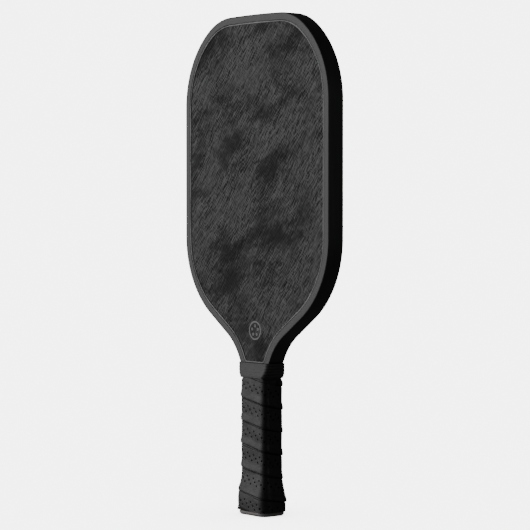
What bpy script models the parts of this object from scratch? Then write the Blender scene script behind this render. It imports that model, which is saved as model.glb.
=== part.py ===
"""Pickleball paddle, modelled as the separate pieces that it is assembled from.

Frame, in metres: +Z runs along the paddle from the butt to the crown, the front face looks along -Y, and +X
is on the right of someone who looks at the front. The origin is the middle of the butt's lowest face.

The blank is a honeycomb core with a foam rim, closed on both sides by a scrim, a glass ply and a carbon
face. It runs down into the handle as a tongue. A channel-shaped guard covers the head's edge, two pallets
fill out the tongue to the size of the handle, and a cushion strip is wound over them and over the butt cap.
"""
import math

import bmesh
import bpy
from mathutils import Matrix

MM = 0.001

# Overall size
LENGTH = 419.1 * MM
HEAD_WIDTH = 190.5 * MM
GUARD_THICKNESS = 16.0 * MM

# The edge's outline, from the crown's middle down the right-hand side: radii and turns of its arcs
CROWN_RADIUS = 1080 * MM
CORNER_RADIUS = 52.5 * MM
CORNER_END_TURN = math.radians(35.7)
UPPER_SIDE_RADIUS = 79 * MM
SIDE_RUN = 111.5 * MM
SHOULDER_RADIUS = 80.7 * MM
SHOULDER_TURN = math.radians(55.2)
FLANK_RUN = 27.5 * MM
THROAT_RADIUS = 51 * MM
THROAT_TURN = math.radians(27.6)
NECK_RUN = 9.4 * MM
NECK_BLEND_RADIUS = 30 * MM
TONGUE_RUN = 130 * MM
FACET_TURN = math.radians(8)

# Gaps between pieces that touch: a glue line between flat sheets, and a fit elsewhere
GLUE_LINE = 0.15 * MM
FIT_GAP = 0.3 * MM
WELD_DISTANCE = 0.001 * MM

# Edge guard
GUARD_WEB = 1.4 * MM
GUARD_LIP = 6.3 * MM
GUARD_LIP_CHAMFER = 0.4 * MM
GUARD_EDGE_RADIUS = 2.0 * MM
GUARD_EDGE_STEPS = 3
BOND_STRIP_THICKNESS = 0.3 * MM
BOND_STRIP_WIDTH = 11 * MM

# Blank: each layer's outer and inner distance from the middle plane
FACE_HALF = 7.3 * MM
FACE_THICKNESS = 0.45 * MM
GLASS_THICKNESS = 0.35 * MM
SCRIM_THICKNESS = 0.25 * MM
BLANK_FOOT = 6.6 * MM
BLANK_INSET = GUARD_WEB + BOND_STRIP_THICKNESS + 2 * GLUE_LINE
FOAM_RIM_WIDTH = 4 * MM
CELL_PITCH = 16.5 * MM
CELL_WALL = 0.9 * MM

# Bead of adhesive along the guard's lip, closed by a straight run along the collar's top
BEAD_WIDTH = 1.2 * MM
BEAD_HEIGHT = 0.5 * MM
BEAD_FOOT = 128.3 * MM

# Band of each carbon face that is abraded for bonding, under the lip, the bead and the handle
BAND_DEPTH = 0.05 * MM
BAND_INSET = GUARD_LIP + GLUE_LINE + BEAD_WIDTH + GLUE_LINE
BAND_FOOT = BEAD_FOOT + BEAD_WIDTH + GLUE_LINE
CUTTER_MARGIN = 1 * MM

# Handle section that the pallets make; everything wound or pushed over it grows out from this one
HANDLE_HALF_X = 14.7 * MM
HANDLE_HALF_Y = 9.6 * MM
HANDLE_CORNER = 4.0 * MM
HANDLE_CORNER_STEPS = 3
PALLET_TOP = 124 * MM
PALLET_TAPER_START = 112 * MM
PALLET_TIP_HALF_Y = 8.6 * MM

# Butt cap, its end plate and its staples
CAP_BOTTOM = 3.6 * MM
CAP_FLOOR_TOP = 6.3 * MM
CAP_TOP = 26 * MM
CAP_STEPS = 8
PLATE_HEIGHT = 3.3 * MM
PLATE_CHAMFER = 1.4 * MM
PLATE_HALF_X = 18.4 * MM
PLATE_HALF_Y = 13.3 * MM
PLATE_CORNER = 7.7 * MM
SPIGOT_INSET = 6 * MM
SPIGOT_HEIGHT = 1.5 * MM
STAPLE_Z = 15 * MM
STAPLE_CROWN = 10 * MM
STAPLE_WIRE = 0.6 * MM
STAPLE_WIDTH = 0.9 * MM
STAPLE_LEG = 4.3 * MM
STAPLE_SINK = 0.1 * MM

# Flare of the handle over the butt cap
FLARE_DEPTH = 3.1 * MM
FLARE_Z = 12 * MM
FLARE_TOP = 36 * MM
FLARE_TUCK = 1.3 * MM

# Cushion strip, wound upwards from the butt, each turn over the upper edge of the turn below
WRAP_GAP = 0.2 * MM
WRAP_THICKNESS = 1.8 * MM
WRAP_EDGE_THICKNESS = 0.6 * MM
WRAP_WIDTH = 25 * MM
WRAP_PITCH = 19.5 * MM
WRAP_BOTTOM = 3.6 * MM
WRAP_TOP = 115.9 * MM
WRAP_SEAM_ANGLE = math.radians(231)
WRAP_SEAM_Z = 59.7 * MM
WRAP_TURNS_BELOW = 4
WRAP_TURNS_ABOVE = 2.6
WRAP_SKIVE = 6 * MM
WRAP_LIFT_END = 8 * MM
WRAP_SQUEEZE_START = 111 * MM
WRAP_SQUEEZE_END = 115 * MM
WRAP_FREE_REACH = 3.3 * MM
WRAP_SQUEEZED_REACH = 1.1 * MM
WRAP_SAMPLES = (0.0, 0.1, 0.22, 0.32, 0.5, 0.66, 0.8, 1.0)

# Finishing tape round the pallets' upper end, against the strip's end and under the collar
TAPE_BOTTOM = 116.2 * MM
TAPE_TOP = 118.4 * MM
TAPE_HALF_X = 15.3 * MM
TAPE_HALF_Y = 9.85 * MM
TAPE_CORNER = 4.2 * MM
TAPE_THICKNESS = 0.25 * MM

# Collar: height, half width, half depth and corner radius of its outside, from the bottom up
COLLAR_SECTIONS = (
    (115.4 * MM, 16.9 * MM, 11.8 * MM, 4.8 * MM),
    (118.0 * MM, 18.5 * MM, 11.7 * MM, 4.8 * MM),
    (121.0 * MM, 19.9 * MM, 11.0 * MM, 4.8 * MM),
    (124.5 * MM, 20.7 * MM, 10.4 * MM, 4.8 * MM),
    (128.0 * MM, 21.0 * MM, 10.0 * MM, 4.8 * MM),
)
COLLAR_WALL = 0.8 * MM
COLLAR_RIM_HEIGHT = 1.6 * MM
COLLAR_RIM_HALF_X = 20.1 * MM
COLLAR_RIM_CORNER = 2.3 * MM
COLLAR_GROOVE_PITCH = 2.5 * MM
COLLAR_GROOVE_COUNT = 4
COLLAR_GROOVE_DEPTH = 0.3 * MM
COLLAR_GROOVE_HALF = 0.75 * MM

CORNER_SIGNS = ((1, 1), (-1, 1), (-1, -1), (1, -1))
SIDES = {"front": -1, "rear": 1}


# ---------------------------------------------------------------- scene and materials

def clear_scene():
    for item in list(bpy.data.objects):
        bpy.data.objects.remove(item, do_unlink=True)


def new_collection(name):
    collection = bpy.data.collections.new(name)
    bpy.context.scene.collection.children.link(collection)
    return collection


def new_material(name, colour, roughness, metallic=0.0):
    material = bpy.data.materials.new(name)
    material.use_nodes = True
    shader = material.node_tree.nodes["Principled BSDF"]
    shader.inputs["Base Color"].default_value = (*colour, 1.0)
    shader.inputs["Roughness"].default_value = roughness
    shader.inputs["Metallic"].default_value = metallic
    return material


def add_mesh(name, mesh, collection, material):
    mesh.name = name
    mesh.materials.clear()
    mesh.materials.append(material)
    piece = bpy.data.objects.new(name, mesh)
    collection.objects.link(piece)
    return piece


# ---------------------------------------------------------------- modelling helpers

def lofted_mesh(rings, joined_ends=False, smooth_angle=math.radians(35)):
    """Skin a row of rings with equal counts; the ends are capped, or joined to each other."""
    shape = bmesh.new()
    rows = [[shape.verts.new(point) for point in ring] for ring in rings]
    pairs = list(zip(rows, rows[1:]))
    if joined_ends:
        pairs.append((rows[-1], rows[0]))
    else:
        shape.faces.new(rows[0])
        shape.faces.new(rows[-1])
    for lower, upper in pairs:
        count = len(lower)
        for index in range(count):
            following = (index + 1) % count
            shape.faces.new((lower[index], lower[following], upper[following], upper[index]))
    bmesh.ops.recalc_face_normals(shape, faces=shape.faces)
    mesh = bpy.data.meshes.new("loft")
    shape.to_mesh(mesh)
    shape.free()
    mesh.shade_smooth()
    mesh.set_sharp_from_angle(angle=smooth_angle)
    return mesh


def flat_mesh(outlines, thickness, place):
    """A flat plate whose rim is the first outline and whose holes are the others, moved to its place."""
    curve = bpy.data.curves.new("flat", "CURVE")
    curve.dimensions = "2D"
    curve.fill_mode = "BOTH"
    curve.extrude = thickness / 2
    for outline in outlines:
        spline = curve.splines.new("POLY")
        spline.points.add(len(outline) - 1)
        for point, (across, along) in zip(spline.points, outline):
            point.co = (across, along, 0, 1)
        spline.use_cyclic_u = True
    drawing = bpy.data.objects.new("flat", curve)
    bpy.context.scene.collection.objects.link(drawing)
    evaluated = drawing.evaluated_get(bpy.context.evaluated_depsgraph_get())
    mesh = bpy.data.meshes.new_from_object(evaluated)
    bpy.data.objects.remove(drawing, do_unlink=True)
    bpy.data.curves.remove(curve)

    shape = bmesh.new()
    shape.from_mesh(mesh)
    bmesh.ops.remove_doubles(shape, verts=shape.verts, dist=WELD_DISTANCE)
    bmesh.ops.transform(shape, matrix=place, verts=shape.verts)
    bmesh.ops.recalc_face_normals(shape, faces=shape.faces)
    shape.to_mesh(mesh)
    shape.free()
    return mesh


def upright_sheet(name, outlines, near_y, far_y, collection, material):
    """A plate that stands in the XZ plane between two Y values."""
    stand_up = Matrix.Translation((0, (near_y + far_y) / 2, 0)) @ Matrix.Rotation(math.radians(90), 4, "X")
    mesh = flat_mesh(outlines, abs(far_y - near_y), stand_up)
    return add_mesh(name, mesh, collection, material)


def cut(piece, cutter):
    """Take the cutter's shape out of the piece, and keep the cutter itself out of sight."""
    cutter.hide_render = True
    cutter.display_type = "WIRE"
    modifier = piece.modifiers.new(cutter.name, "BOOLEAN")
    modifier.operation = "DIFFERENCE"
    modifier.solver = "EXACT"
    modifier.object = cutter


# ---------------------------------------------------------------- outline of the paddle's edge

def corner_start_turn():
    """How far the crown's arc turns before the corner, so that the head is HEAD_WIDTH wide."""
    blend = UPPER_SIDE_RADIUS + (CORNER_RADIUS - UPPER_SIDE_RADIUS) * math.sin(CORNER_END_TURN)
    return math.asin((HEAD_WIDTH / 2 - blend) / (CROWN_RADIUS - CORNER_RADIUS))


def edge_segments():
    """Length and clockwise turn of each tangent arc or straight run of the guard's outside."""
    crown = corner_start_turn()
    neck = SHOULDER_TURN - THROAT_TURN
    return (
        (CROWN_RADIUS * crown, crown),
        (CORNER_RADIUS * (CORNER_END_TURN - crown), CORNER_END_TURN - crown),
        (UPPER_SIDE_RADIUS * (math.pi / 2 - CORNER_END_TURN), math.pi / 2 - CORNER_END_TURN),
        (SIDE_RUN, 0.0),
        (SHOULDER_RADIUS * SHOULDER_TURN, SHOULDER_TURN),
        (FLANK_RUN, 0.0),
        (THROAT_RADIUS * THROAT_TURN, -THROAT_TURN),
        (NECK_RUN, 0.0),
        (NECK_BLEND_RADIUS * neck, -neck),
        (TONGUE_RUN, 0.0),
    )


NECK_SEGMENT_COUNT = 8


def edge_path(inset, segment_count=None):
    """Points (x, z) down the right-hand edge, moved inwards by inset, from the crown's middle."""
    x = 0.0
    z = LENGTH - inset
    heading = 0.0
    points = [(x, z)]
    for length, turn in edge_segments()[:segment_count]:
        steps = max(1, math.ceil(abs(turn) / FACET_TURN))
        half_step = turn / steps / 2
        chord = (length - inset * turn) / steps
        if turn:
            chord *= math.sin(half_step) / half_step
        for _ in range(steps):
            heading += half_step
            x += chord * math.cos(heading)
            z -= chord * math.sin(heading)
            heading += half_step
            points.append((x, z))
    return points


def closed_outline(inset, foot):
    """The whole outline, moved inwards by inset and cut off straight at the height foot."""
    path = edge_path(inset)
    above = [point for point in path if point[1] > foot]
    last = above[-1]
    following = path[len(above)]
    share = (last[1] - foot) / (last[1] - following[1])
    above.append((last[0] + share * (following[0] - last[0]), foot))
    left = [(-x, z) for x, z in above[1:]]
    return above + left[::-1]


def both_sides(path):
    """A path from one end of the edge, over the crown, to the other end."""
    return [(-x, z) for x, z in reversed(path[1:])] + path


# ---------------------------------------------------------------- head

def build_core(collection, material):
    """Honeycomb with hexagonal cells that run straight through it."""
    inset = BLANK_INSET + FOAM_RIM_WIDTH + FIT_GAP
    foot = BLANK_FOOT + FOAM_RIM_WIDTH + FIT_GAP
    rim = closed_outline(inset, foot)
    clear = closed_outline(inset + CELL_WALL, foot + CELL_WALL)
    cell_radius = (CELL_PITCH - CELL_WALL) / math.sqrt(3)
    row_height = CELL_PITCH * math.sqrt(3) / 2
    cells = []
    for row in range(int(LENGTH / row_height) + 1):
        z = foot + row * row_height
        shift = CELL_PITCH / 2 if row % 2 else 0.0
        columns = int(HEAD_WIDTH / CELL_PITCH)
        for column in range(-columns, columns + 1):
            cell = hexagon(column * CELL_PITCH + shift, z, cell_radius)
            if all(inside(point, clear) for point in cell):
                cells.append(cell)
    half = core_half()
    return upright_sheet("honeycomb_core", [rim] + cells, -half, half, collection, material)


def hexagon(x, z, radius):
    """Corners of a hexagon that has one corner at its top."""
    angles = [math.pi / 2 + math.pi / 3 * index for index in range(6)]
    return [(x + radius * math.cos(angle), z + radius * math.sin(angle)) for angle in angles]


def inside(point, outline):
    """Even-odd test: is the point inside the closed outline?"""
    x, z = point
    crossings = 0
    for (x1, z1), (x2, z2) in zip(outline, outline[1:] + outline[:1]):
        if (z1 > z) != (z2 > z) and x < x1 + (z - z1) * (x2 - x1) / (z2 - z1):
            crossings += 1
    return crossings % 2 == 1


def core_half():
    layers = FACE_THICKNESS + GLASS_THICKNESS + SCRIM_THICKNESS
    return FACE_HALF - layers - 3 * GLUE_LINE


def build_foam_rim(collection, material):
    outer = closed_outline(BLANK_INSET, BLANK_FOOT)
    inner = closed_outline(BLANK_INSET + FOAM_RIM_WIDTH, BLANK_FOOT + FOAM_RIM_WIDTH)
    half = core_half()
    return upright_sheet("foam_edge_rim", [outer, inner], -half, half, collection, material)


def build_skins(collection, cutters, materials):
    """On each side of the core: a scrim, a glass ply and a carbon face, each as wide as the blank."""
    outline = closed_outline(BLANK_INSET, BLANK_FOOT)
    clear_of_blank = closed_outline(-CUTTER_MARGIN, BLANK_FOOT - CUTTER_MARGIN)
    exposed = closed_outline(BAND_INSET, BAND_FOOT)
    layers = (
        ("carbon_face", FACE_THICKNESS, materials["carbon"]),
        ("glass_ply", GLASS_THICKNESS, materials["glass_ply"]),
        ("core_scrim", SCRIM_THICKNESS, materials["scrim"]),
    )
    for side, sign in SIDES.items():
        outside = FACE_HALF
        sheets = {}
        for layer, thickness, material in layers:
            near = sign * outside
            far = sign * (outside - thickness)
            sheets[layer] = upright_sheet(f"{side}_{layer}", [outline], near, far, collection, material)
            outside -= thickness + GLUE_LINE
        near = sign * (FACE_HALF + CUTTER_MARGIN)
        far = sign * (FACE_HALF - BAND_DEPTH)
        band = [clear_of_blank, exposed]
        cutter = upright_sheet(f"{side}_band_cutter", band, near, far, cutters, materials["carbon"])
        cut(sheets["carbon_face"], cutter)


def guard_section():
    """Channel section as (inset, y) points: rounded outside, thin lips, square inside."""
    half = GUARD_THICKNESS / 2
    lip_inside = FACE_HALF + GLUE_LINE
    radius = GUARD_EDGE_RADIUS
    upper = []
    for step in range(GUARD_EDGE_STEPS + 1):
        angle = math.radians(90) * step / GUARD_EDGE_STEPS
        upper.append((radius * (1 - math.cos(angle)), half - radius + radius * math.sin(angle)))
    upper.append((GUARD_LIP - GUARD_LIP_CHAMFER, half))
    upper.append((GUARD_LIP, half - GUARD_LIP_CHAMFER))
    upper.append((GUARD_LIP, lip_inside))
    upper.append((GUARD_WEB, lip_inside))
    lower = [(inset, -y) for inset, y in reversed(upper)]
    return upper + lower


def swept_edge(name, section, collection, material):
    """Sweep a section of (inset, y) points along the head's edge, from neck to neck."""
    rails = [both_sides(edge_path(inset, NECK_SEGMENT_COUNT)) for inset, _ in section]
    depths = [y for _, y in section]
    rings = []
    for stop in range(len(rails[0])):
        rings.append([(rail[stop][0], y, rail[stop][1]) for rail, y in zip(rails, depths)])
    return add_mesh(name, lofted_mesh(rings), collection, material)


def build_edge(collection, materials):
    swept_edge("edge_guard", guard_section(), collection, materials["guard"])
    near = GUARD_WEB + GLUE_LINE
    far = near + BOND_STRIP_THICKNESS
    half = BOND_STRIP_WIDTH / 2
    strip = [(near, -half), (near, half), (far, half), (far, -half)]
    swept_edge("edge_bond_strip", strip, collection, materials["bond"])


def build_beads(collection, material):
    inset = GUARD_LIP + GLUE_LINE
    outer = closed_outline(inset, BEAD_FOOT)
    inner = closed_outline(inset + BEAD_WIDTH, BEAD_FOOT + BEAD_WIDTH)
    for side, sign in SIDES.items():
        near = sign * (FACE_HALF + GLUE_LINE)
        far = near + sign * BEAD_HEIGHT
        upright_sheet(f"{side}_edge_bead", [outer, inner], near, far, collection, material)


# ---------------------------------------------------------------- handle sections

def section_ring(half_x, half_y, corner, z):
    """Rounded rectangle at height z, counterclockwise from the right-hand side's end of its first corner."""
    ring = []
    for quarter, (sign_x, sign_y) in enumerate(CORNER_SIGNS):
        for step in range(HANDLE_CORNER_STEPS + 1):
            angle = math.radians(90) * (quarter + step / HANDLE_CORNER_STEPS)
            x = sign_x * (half_x - corner) + corner * math.cos(angle)
            y = sign_y * (half_y - corner) + corner * math.sin(angle)
            ring.append((x, y, z))
    return ring


def handle_ring(grow, z):
    return section_ring(HANDLE_HALF_X + grow, HANDLE_HALF_Y + grow, HANDLE_CORNER + grow, z)


def flare(z):
    """How far the butt cap's outside stands proud of the pallets at height z."""
    if z >= FLARE_TOP:
        return 0.0
    if z >= FLARE_Z:
        share = (z - FLARE_Z) / (FLARE_TOP - FLARE_Z)
        return FLARE_DEPTH * (1 + math.cos(math.pi * share)) / 2
    return FLARE_DEPTH - FLARE_TUCK * ((FLARE_Z - z) / (FLARE_Z - CAP_BOTTOM)) ** 2


def build_pallets(collection, material):
    """Two shells that lie on the tongue's faces and give the handle its rounded section."""
    inside_y = FACE_HALF + FIT_GAP
    levels = (
        (BLANK_FOOT, HANDLE_HALF_Y),
        (PALLET_TAPER_START, HANDLE_HALF_Y),
        (PALLET_TOP, PALLET_TIP_HALF_Y),
    )
    pallets = {}
    for side, sign in SIDES.items():
        rings = [pallet_ring(half_y, inside_y, sign, z) for z, half_y in levels]
        pallets[side] = add_mesh(f"{side}_handle_pallet", lofted_mesh(rings), collection, material)
    return pallets


def pallet_ring(half_y, inside_y, sign, z):
    """The part of the handle's section beyond inside_y, whose corner arcs start there."""
    centre_x = HANDLE_HALF_X - HANDLE_CORNER
    centre_y = half_y - HANDLE_CORNER
    first_angle = math.asin((inside_y - centre_y) / HANDLE_CORNER)
    right = []
    for step in range(HANDLE_CORNER_STEPS + 1):
        angle = first_angle + (math.pi / 2 - first_angle) * step / HANDLE_CORNER_STEPS
        x = centre_x + HANDLE_CORNER * math.cos(angle)
        right.append((x, centre_y + HANDLE_CORNER * math.sin(angle)))
    half = right + [(-x, y) for x, y in reversed(right)]
    return [(x, sign * y, z) for x, y in half]


# ---------------------------------------------------------------- butt

def build_butt_cap(collection, material):
    rise = (CAP_TOP - CAP_BOTTOM) / CAP_STEPS
    levels = [CAP_BOTTOM + rise * step for step in range(CAP_STEPS + 1)]
    outside = [handle_ring(flare(z), z) for z in levels]
    inside = [handle_ring(FIT_GAP, CAP_TOP), handle_ring(FIT_GAP, CAP_FLOOR_TOP)]
    pocket_top = CAP_BOTTOM + SPIGOT_HEIGHT
    pocket = [spigot_ring(FIT_GAP, pocket_top), spigot_ring(FIT_GAP, CAP_BOTTOM)]
    mesh = lofted_mesh(pocket + outside + inside)
    return add_mesh("butt_cap", mesh, collection, material)


def spigot_ring(grow, z):
    """Outline of the end plate's spigot, which plugs into a pocket under the butt cap."""
    inset = SPIGOT_INSET - grow
    return section_ring(PLATE_HALF_X - inset, PLATE_HALF_Y - inset, PLATE_CORNER - inset, z)


def build_end_plate(collection, material):
    chamfered = (PLATE_HALF_X - PLATE_CHAMFER, PLATE_HALF_Y - PLATE_CHAMFER, PLATE_CORNER - PLATE_CHAMFER)
    rings = [
        section_ring(*chamfered, 0.0),
        section_ring(PLATE_HALF_X, PLATE_HALF_Y, PLATE_CORNER, PLATE_CHAMFER),
        section_ring(PLATE_HALF_X, PLATE_HALF_Y, PLATE_CORNER, PLATE_HEIGHT),
        spigot_ring(0.0, PLATE_HEIGHT),
        spigot_ring(0.0, PLATE_HEIGHT + SPIGOT_HEIGHT - FIT_GAP),
    ]
    return add_mesh("butt_end_plate", lofted_mesh(rings), collection, material)


def staple_outline(wire_start, grow):
    """A staple from above: its crown lies along X at -wire_start and its legs point towards +Y."""
    half = STAPLE_CROWN / 2 + grow
    inner = half - STAPLE_WIRE - 2 * grow
    crown_out = -wire_start
    crown_in = crown_out + STAPLE_WIRE + grow
    tip = -wire_start + STAPLE_LEG + grow
    if grow:
        crown_out -= STAPLE_WIRE
    return [
        (-half, crown_out),
        (half, crown_out),
        (half, tip),
        (inner, tip),
        (inner, crown_in),
        (-inner, crown_in),
        (-inner, tip),
        (-half, tip),
    ]


def build_staples(collection, cutters, material, cap, pallets):
    """One staple through the cap's wall into each pallet, with its crown sunk into the cap."""
    wire_start = HANDLE_HALF_Y + flare(STAPLE_Z) - STAPLE_SINK
    for side, sign in SIDES.items():
        turn = Matrix.Rotation(0.0 if sign < 0 else math.pi, 4, "Z")
        place = Matrix.Translation((0, 0, STAPLE_Z)) @ turn
        staple = flat_mesh([staple_outline(wire_start, 0.0)], STAPLE_WIDTH, place)
        add_mesh(f"{side}_butt_staple", staple, collection, material)
        hollow = flat_mesh([staple_outline(wire_start, FIT_GAP)], STAPLE_WIDTH + 2 * FIT_GAP, place)
        cutter = add_mesh(f"{side}_staple_cutter", hollow, cutters, material)
        cut(cap, cutter)
        cut(pallets[side], cutter)


# ---------------------------------------------------------------- grip

def handle_stops():
    """Stops round the handle's section: swing centre, outward angle and distance along the rim."""
    stops = []
    distance = 0.0
    previous = None
    for quarter, (sign_x, sign_y) in enumerate(CORNER_SIGNS):
        centre = (sign_x * (HANDLE_HALF_X - HANDLE_CORNER), sign_y * (HANDLE_HALF_Y - HANDLE_CORNER))
        if previous:
            distance += math.dist(previous, centre)
        previous = centre
        for step in range(HANDLE_CORNER_STEPS + 1):
            angle = math.radians(90) * (quarter + step / HANDLE_CORNER_STEPS)
            arc = HANDLE_CORNER * math.radians(90) * step / HANDLE_CORNER_STEPS
            stops.append((centre, angle, distance + arc))
        distance += HANDLE_CORNER * math.radians(90)
    perimeter = distance + 2 * (HANDLE_HALF_Y - HANDLE_CORNER)
    return stops, perimeter


def wrap_base(z):
    """How far the strip's inner side stands off the pallets at height z."""
    return WRAP_GAP + flare(z)


def wrap_thickness(w):
    """Thickness across the strip: thin at both edges, full in between. w runs from 0 to the width."""
    edge = min(w, WRAP_WIDTH - w, WRAP_SKIVE) / WRAP_SKIVE
    return WRAP_EDGE_THICKNESS + (WRAP_THICKNESS - WRAP_EDGE_THICKNESS) * edge


def wrap_lift(w):
    """How far the strip's lower part is raised by the turn below it."""
    overlap = WRAP_WIDTH - WRAP_PITCH
    if w <= overlap:
        return wrap_thickness(w + WRAP_PITCH) + FIT_GAP
    edge_lift = WRAP_EDGE_THICKNESS + FIT_GAP
    return edge_lift * max(0.0, (WRAP_LIFT_END - w) / (WRAP_LIFT_END - overlap))


def wrap_reach_limit(z):
    """The furthest that the strip's outer side may stand off the pallets: the collar presses it in."""
    share = (z - WRAP_SQUEEZE_START) / (WRAP_SQUEEZE_END - WRAP_SQUEEZE_START)
    share = min(max(share, 0.0), 1.0)
    return flare(z) + WRAP_FREE_REACH + (WRAP_SQUEEZED_REACH - WRAP_FREE_REACH) * share


def wrap_ring(stop, low, has_turn_below):
    """The strip's section at one stop, trimmed at the butt and under the collar."""
    centre, angle, _ = stop
    first = max(0.0, WRAP_BOTTOM - low)
    last = min(WRAP_WIDTH, WRAP_TOP - low)
    inner = []
    outer = []
    for share in WRAP_SAMPLES:
        w = first + share * (last - first)
        z = low + w
        lift = wrap_lift(w) if has_turn_below else 0.0
        far = min(wrap_base(z) + lift + wrap_thickness(w), wrap_reach_limit(z))
        near = min(wrap_base(z) + lift, far - WRAP_EDGE_THICKNESS)
        for row, grow in ((inner, near), (outer, far)):
            reach = HANDLE_CORNER + grow
            row.append((centre[0] + reach * math.cos(angle), centre[1] + reach * math.sin(angle), z))
    return inner + outer[::-1]


def build_wrap(collection, material):
    """The strip climbs clockwise, seen from above, from a tapered start at the butt."""
    stops, perimeter = handle_stops()
    nearest = min(stops, key=lambda stop: abs(stop[1] - WRAP_SEAM_ANGLE))
    seam_distance = nearest[2]
    rings = []
    turn = -WRAP_TURNS_BELOW
    first_turn_end = 1 - WRAP_TURNS_BELOW
    loop = 0
    while turn < WRAP_TURNS_ABOVE:
        for stop in reversed(stops):
            turn = (seam_distance - stop[2]) / perimeter + loop - WRAP_TURNS_BELOW - 1
            if -WRAP_TURNS_BELOW <= turn <= WRAP_TURNS_ABOVE:
                low = WRAP_SEAM_Z + WRAP_PITCH * turn
                rings.append(wrap_ring(stop, low, turn >= first_turn_end))
        loop += 1
    return add_mesh("grip_wrap", lofted_mesh(rings), collection, material)


def tape_ring(z, inset):
    return section_ring(TAPE_HALF_X - inset, TAPE_HALF_Y - inset, TAPE_CORNER - inset, z)


def build_finishing_tape(collection, material):
    rings = [
        tape_ring(TAPE_BOTTOM, TAPE_THICKNESS),
        tape_ring(TAPE_BOTTOM, 0.0),
        tape_ring(TAPE_TOP, 0.0),
        tape_ring(TAPE_TOP, TAPE_THICKNESS),
    ]
    mesh = lofted_mesh(rings, joined_ends=True)
    return add_mesh("finishing_tape", mesh, collection, material)


# ---------------------------------------------------------------- collar

def collar_outside(z):
    """Half width, half depth and corner radius of the collar at height z."""
    for lower, upper in zip(COLLAR_SECTIONS, COLLAR_SECTIONS[1:]):
        if z <= upper[0]:
            share = (z - lower[0]) / (upper[0] - lower[0])
            return [a + share * (b - a) for a, b in zip(lower[1:], upper[1:])]
    return list(COLLAR_SECTIONS[-1][1:])


def collar_ring(z, inset):
    return section_ring(*[size - inset for size in collar_outside(z)], z)


def build_collar(collection, material):
    """A rubber band with shallow grooves round it and an inward rim at its top."""
    bottom = COLLAR_SECTIONS[0][0]
    top = COLLAR_SECTIONS[-1][0]
    middle = (bottom + top) / 2
    outside = [collar_ring(bottom, 0.0)]
    for index in range(COLLAR_GROOVE_COUNT):
        groove = middle + (index - (COLLAR_GROOVE_COUNT - 1) / 2) * COLLAR_GROOVE_PITCH
        outside.append(collar_ring(groove - COLLAR_GROOVE_HALF, 0.0))
        outside.append(collar_ring(groove, COLLAR_GROOVE_DEPTH))
        outside.append(collar_ring(groove + COLLAR_GROOVE_HALF, 0.0))
    outside.append(collar_ring(top, 0.0))
    rim_y = GUARD_THICKNESS / 2 + FIT_GAP
    rim_low = top - COLLAR_RIM_HEIGHT
    inside = [
        section_ring(COLLAR_RIM_HALF_X, rim_y, COLLAR_RIM_CORNER, top),
        section_ring(COLLAR_RIM_HALF_X, rim_y, COLLAR_RIM_CORNER, rim_low),
    ]
    for z, *_ in reversed(COLLAR_SECTIONS[:-1]):
        inside.append(collar_ring(z, COLLAR_WALL))
    mesh = lofted_mesh(outside + inside, joined_ends=True)
    return add_mesh("grip_collar", mesh, collection, material)


# ---------------------------------------------------------------- assembly

def make_materials():
    return {
        "carbon": new_material("raw_carbon", (0.035, 0.035, 0.036), 0.55),
        "glass_ply": new_material("glass_ply", (0.32, 0.34, 0.30), 0.6),
        "scrim": new_material("polyester_scrim", (0.75, 0.75, 0.73), 0.9),
        "core": new_material("polypropylene_honeycomb", (0.80, 0.81, 0.82), 0.5),
        "foam": new_material("edge_foam", (0.55, 0.53, 0.46), 0.9),
        "guard": new_material("guard_elastomer", (0.045, 0.045, 0.045), 0.5),
        "bond": new_material("bond_strip", (0.62, 0.60, 0.55), 0.7),
        "bead": new_material("adhesive_bead", (0.13, 0.13, 0.13), 0.4),
        "pallet": new_material("handle_foam", (0.12, 0.12, 0.12), 0.8),
        "cap": new_material("cap_plastic", (0.05, 0.05, 0.05), 0.5),
        "plate": new_material("plate_plastic", (0.10, 0.09, 0.09), 0.4),
        "staple": new_material("staple_steel", (0.6, 0.6, 0.6), 0.35, metallic=1.0),
        "wrap": new_material("grip_cushion", (0.05, 0.05, 0.05), 0.7),
        "tape": new_material("finishing_tape", (0.03, 0.03, 0.03), 0.5),
        "collar": new_material("collar_rubber", (0.05, 0.05, 0.05), 0.6),
    }


def build_paddle():
    clear_scene()
    paddle = new_collection("pickleball_paddle")
    cutters = new_collection("cutters")
    materials = make_materials()

    build_core(paddle, materials["core"])
    build_foam_rim(paddle, materials["foam"])
    build_skins(paddle, cutters, materials)
    build_edge(paddle, materials)
    build_beads(paddle, materials["bead"])

    pallets = build_pallets(paddle, materials["pallet"])
    cap = build_butt_cap(paddle, materials["cap"])
    build_end_plate(paddle, materials["plate"])
    build_staples(paddle, cutters, materials["staple"], cap, pallets)

    build_wrap(paddle, materials["wrap"])
    build_finishing_tape(paddle, materials["tape"])
    build_collar(paddle, materials["collar"])


build_paddle()
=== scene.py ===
"""Looks for the pickleball paddle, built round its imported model.

Frame, in metres: +Z runs along the paddle from the butt to the crown, the front face looks along -Y,
and +X is on the right of someone who looks at the front. The faces, the inner pieces and the staples
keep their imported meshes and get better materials. The guard, the beads, the strip, the collar and the
end plate are built again, finer, and a printed mark is added on each face.
"""

import math

import bmesh
import bpy
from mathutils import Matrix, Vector


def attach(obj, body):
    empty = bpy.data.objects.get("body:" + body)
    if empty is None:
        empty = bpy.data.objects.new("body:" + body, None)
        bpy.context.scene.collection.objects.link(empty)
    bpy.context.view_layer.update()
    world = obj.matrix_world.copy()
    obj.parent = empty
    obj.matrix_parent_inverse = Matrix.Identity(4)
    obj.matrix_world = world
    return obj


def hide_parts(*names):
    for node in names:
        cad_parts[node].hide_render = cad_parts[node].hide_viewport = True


MM = 0.001

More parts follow.
